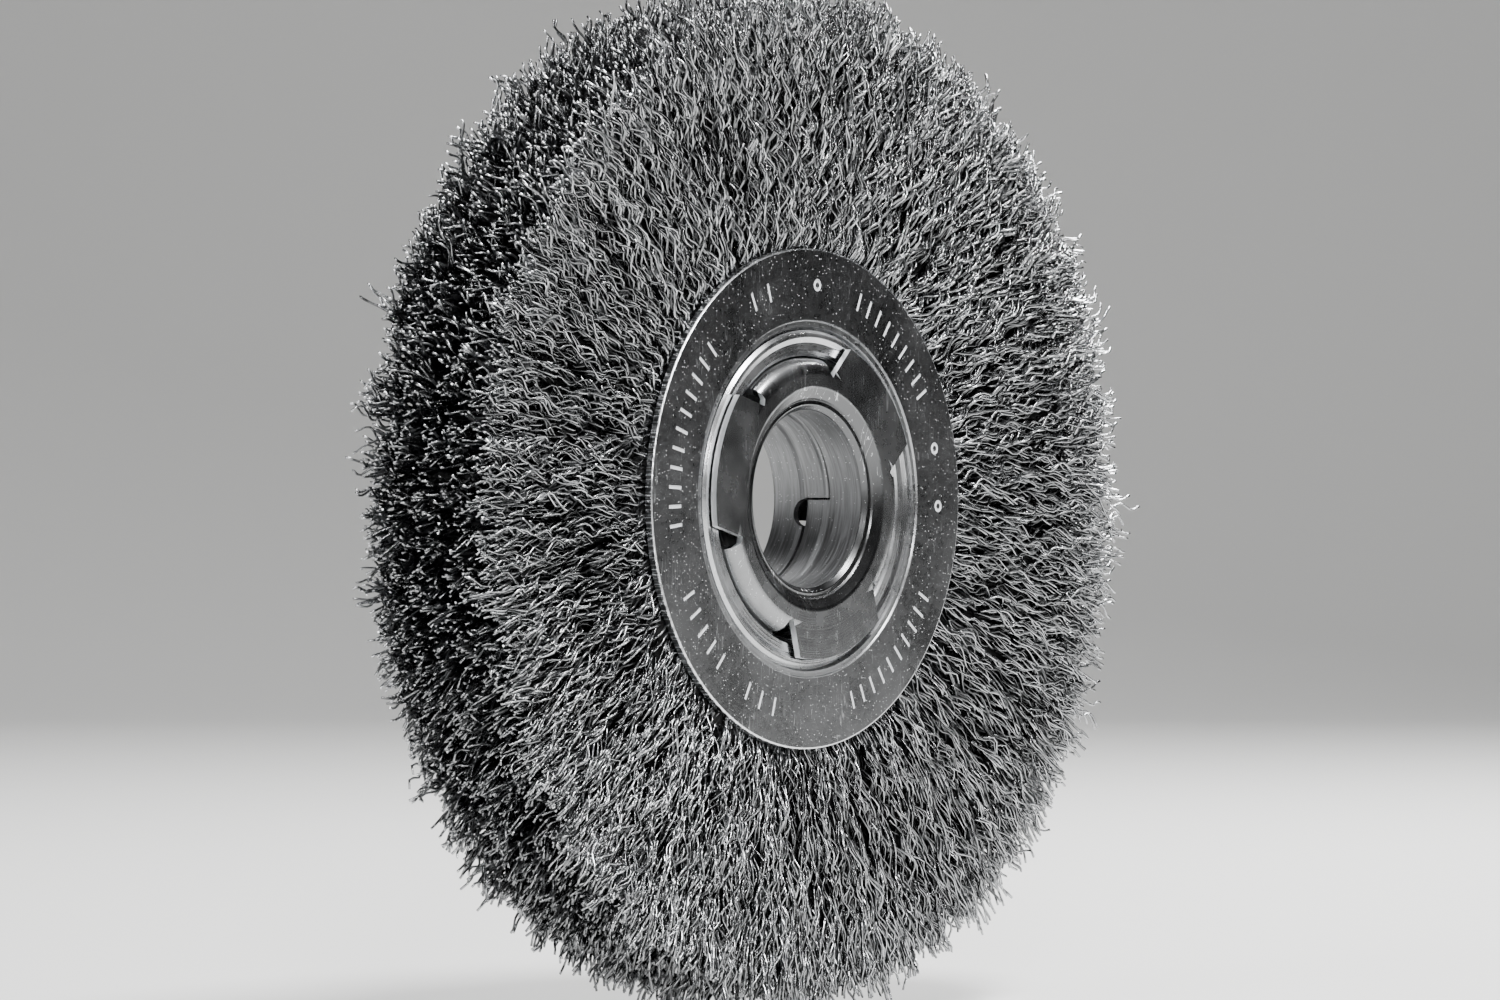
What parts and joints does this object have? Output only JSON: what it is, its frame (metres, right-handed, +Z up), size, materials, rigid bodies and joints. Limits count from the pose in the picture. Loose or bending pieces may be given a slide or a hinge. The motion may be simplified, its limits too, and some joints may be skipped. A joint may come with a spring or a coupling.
{
  "type": "crimped wire wheel brush",
  "caption": "Wide round wheel brush of crimped steel wire, clamped between two face plates on a hub sleeve, with a removable pair of reducing adaptors in its bore.",
  "frame": {"origin": "middle of the wheel, on the axis of its bore", "axes": "the wheel turns about Y, its marked front faces -Y, +Z is up"},
  "size_m": [0.18, 0.025, 0.18],
  "materials": {
    "plate_steel": "satin",
    "sleeve_steel": "gloss",
    "adaptor_steel": "satin",
    "ring_steel": "satin",
    "wire_steel": "satin"
  },
  "bodies": {
    "brush": {"front_face_plate": "plate_steel", "rear_face_plate": "plate_steel", "hub_sleeve": "sleeve_steel", "front_core_ring": "ring_steel", "middle_core_ring": "ring_steel", "rear_core_ring": "ring_steel", "front_wires_1": "wire_steel", "front_wires_2": "wire_steel", "front_wires_3": "wire_steel", "front_wires_4": "wire_steel", "front_wires_5": "wire_steel", "front_wires_6": "wire_steel", "front_wires_7": "wire_steel", "front_wires_8": "wire_steel", "middle_wires_1": "wire_steel", "middle_wires_2": "wire_steel", "middle_wires_3": "wire_steel", "middle_wires_4": "wire_steel", "middle_wires_5": "wire_steel", "middle_wires_6": "wire_steel", "middle_wires_7": "wire_steel", "middle_wires_8": "wire_steel", "rear_wires_1": "wire_steel", "rear_wires_2": "wire_steel", "rear_wires_3": "wire_steel", "rear_wires_4": "wire_steel", "rear_wires_5": "wire_steel", "rear_wires_6": "wire_steel", "rear_wires_7": "wire_steel", "rear_wires_8": "wire_steel"},
    "front_adaptor": {"front_adaptor": "adaptor_steel"},
    "rear_adaptor": {"rear_adaptor": "adaptor_steel"}
  },
  "joints": [
    {"name": "front_adaptor_slide", "type": "slide", "parent": "brush", "child": "front_adaptor", "axis": [0, -1, 0], "range_m": [0, 0.03]},
    {"name": "rear_adaptor_slide", "type": "slide", "parent": "brush", "child": "rear_adaptor", "axis": [0, 1, 0], "range_m": [0, 0.03]}
  ]
}
